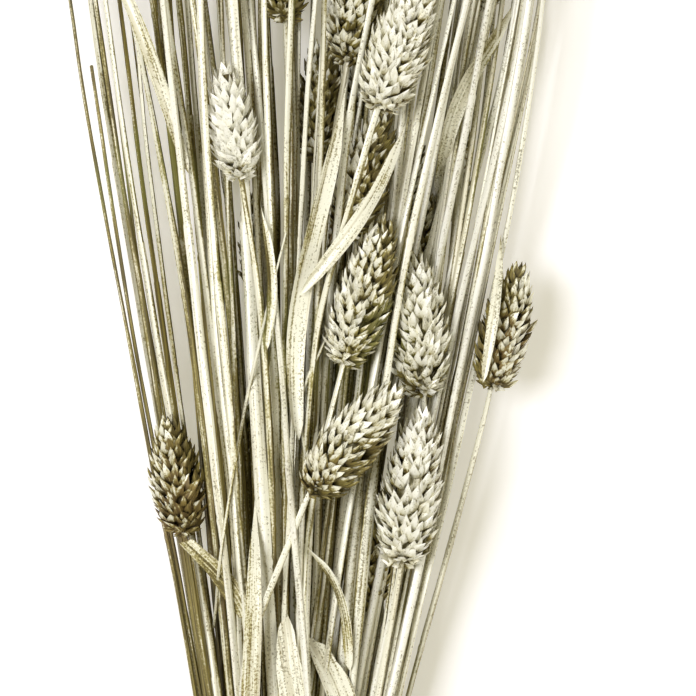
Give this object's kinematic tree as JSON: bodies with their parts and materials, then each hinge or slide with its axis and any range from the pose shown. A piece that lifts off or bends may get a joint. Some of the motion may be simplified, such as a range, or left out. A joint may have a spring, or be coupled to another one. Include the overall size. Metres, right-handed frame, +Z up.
{
  "type": "bundle of dried canary grass",
  "caption": "Tied bundle of dried canary grass lying on its side: straight straws fanning out from a twine wrap, scaly egg-shaped seed heads and a few curled leaf blades.",
  "frame": {"origin": "middle of the bundle's footprint, on the surface that it lies on", "axes": "+Y along the bundle from the cut ends to the seed heads, +Z up, +X across the fan"},
  "size_m": [0.143, 0.5694, 0.0491],
  "materials": {
    "stalk": "dry grass sprayed silvery champagne, straw and olive showing through",
    "leaf": "thin dry leaf sprayed silvery champagne, veined",
    "twine": "plain natural jute"
  },
  "bodies": {
    "root": {"leaf_blade_01": "leaf", "leaf_blade_02": "leaf", "leaf_blade_03": "leaf", "leaf_blade_04": "leaf", "leaf_blade_05": "leaf", "leaf_blade_06": "leaf", "leaf_blade_07": "leaf", "leaf_blade_08": "leaf", "leaf_blade_09": "leaf", "leaf_blade_10": "leaf", "leaf_blade_11": "leaf", "leaf_blade_12": "leaf", "stalk_01": "stalk", "stalk_02": "stalk", "stalk_03": "stalk", "stalk_04": "stalk", "stalk_05": "stalk", "stalk_06": "stalk", "stalk_07": "stalk", "stalk_08": "stalk", "stalk_09": "stalk", "stalk_10": "stalk", "stalk_11": "stalk", "stalk_12": "stalk", "stalk_13": "stalk", "stalk_14": "stalk", "stalk_15": "stalk", "stalk_16": "stalk", "stalk_17": "stalk", "stalk_18": "stalk", "stalk_19": "stalk", "stalk_20": "stalk", "stalk_21": "stalk", "stalk_22": "stalk", "stalk_23": "stalk", "stalk_24": "stalk", "stalk_25": "stalk", "stalk_26": "stalk", "stalk_27": "stalk", "stalk_28": "stalk", "stalk_29": "stalk", "stalk_30": "stalk", "stalk_31": "stalk", "stalk_32": "stalk", "stalk_33": "stalk", "stalk_34": "stalk", "stalk_35": "stalk", "stalk_36": "stalk", "stalk_37": "stalk", "stalk_38": "stalk", "stalk_39": "stalk", "stalk_40": "stalk", "stalk_41": "stalk", "stalk_42": "stalk", "stalk_43": "stalk", "stalk_44": "stalk", "stalk_45": "stalk", "stalk_46": "stalk", "stalk_47": "stalk", "twine": "twine"}
  },
  "joints": []
}
